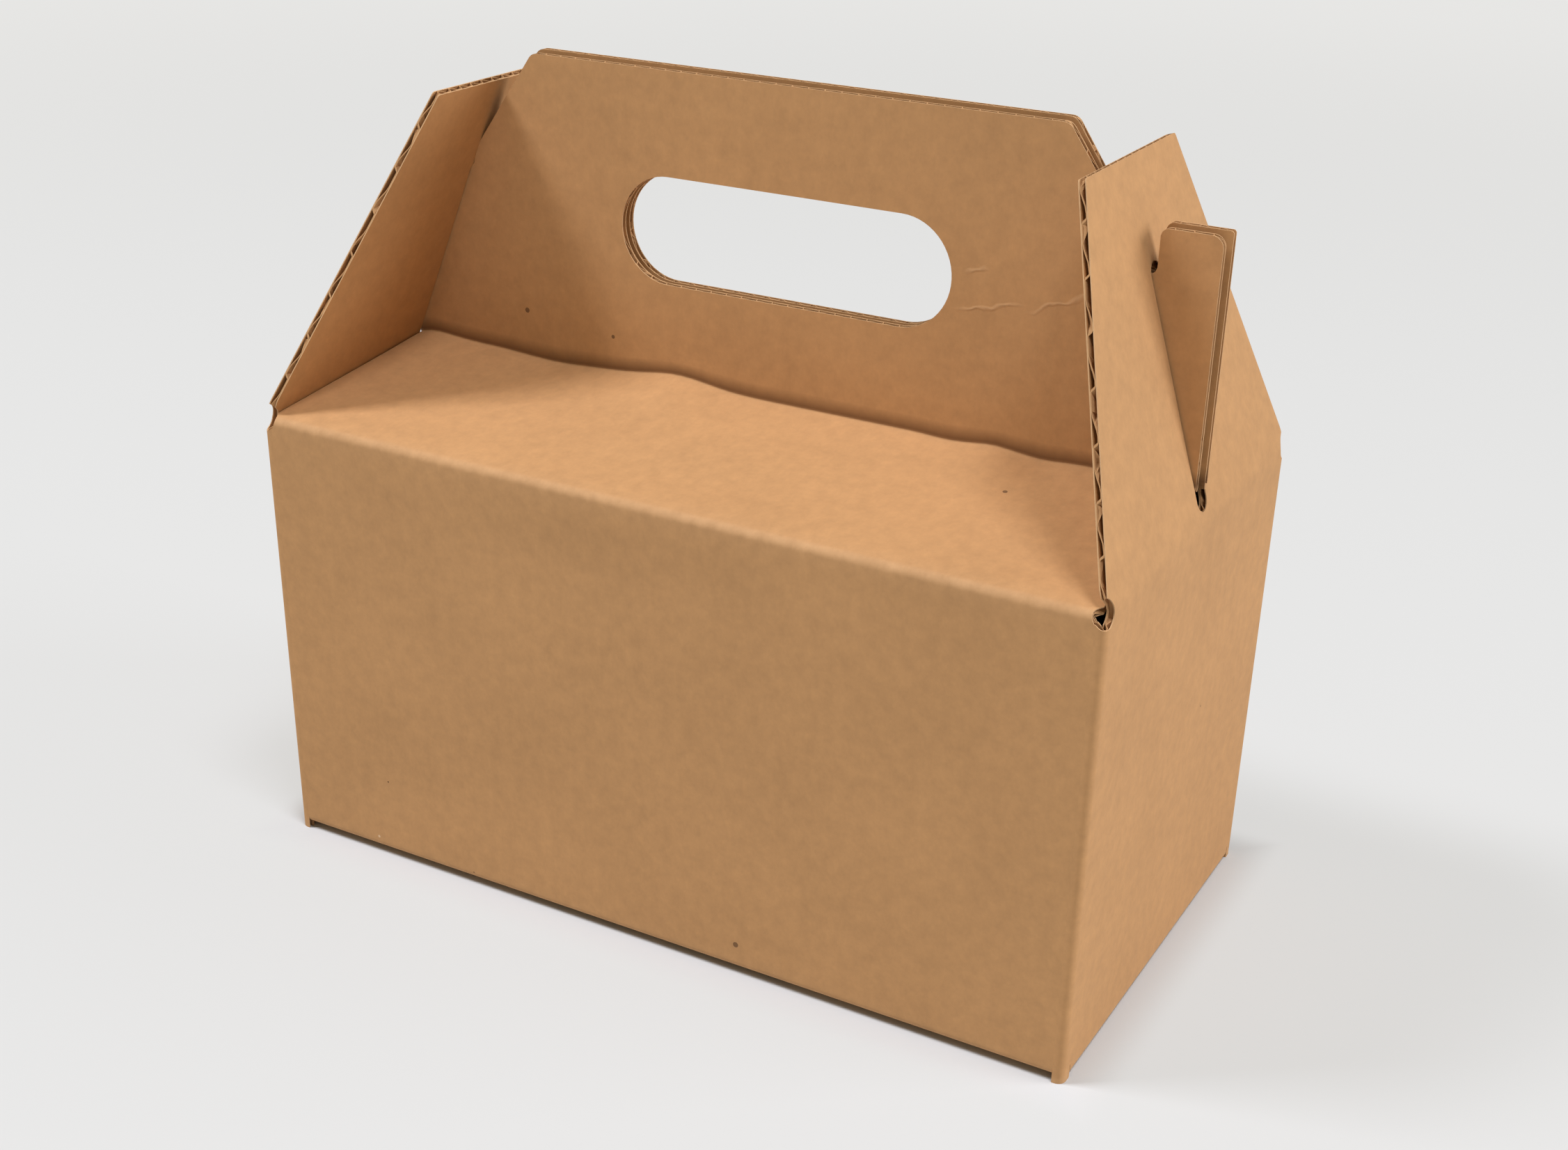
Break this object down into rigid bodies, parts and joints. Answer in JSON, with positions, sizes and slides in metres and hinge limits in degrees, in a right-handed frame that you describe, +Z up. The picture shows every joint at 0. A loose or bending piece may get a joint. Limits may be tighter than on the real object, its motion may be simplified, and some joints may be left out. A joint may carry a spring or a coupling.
{
  "type": "cardboard lunch box",
  "caption": "Carry box folded from corrugated board: rectangular body, ridge handle with a hand hole, slotted end flaps held by hooks on the handle.",
  "frame": {"origin": "under the middle of the box, on the surface that it stands on", "axes": "+Z up, +X along the length of the box and the handle, front wall towards -Y"},
  "size_m": [0.2416, 0.1288, 0.2185],
  "materials": {
    "kraft_board": "matt unprinted kraft liner"
  },
  "bodies": {
    "box": {"carton": "kraft_board"},
    "right_flap": {"right_end_flap": "kraft_board"},
    "left_flap": {"left_end_flap": "kraft_board"}
  },
  "joints": [
    {"name": "right_flap_fold", "type": "hinge", "parent": "box", "child": "right_flap", "pos_m": [0.12085, 0, 0.127], "axis": [0, 1, 0], "range_deg": [0, 180]},
    {"name": "left_flap_fold", "type": "hinge", "parent": "box", "child": "left_flap", "pos_m": [-0.12085, 0, 0.127], "axis": [0, -1, 0], "range_deg": [0, 180]}
  ]
}
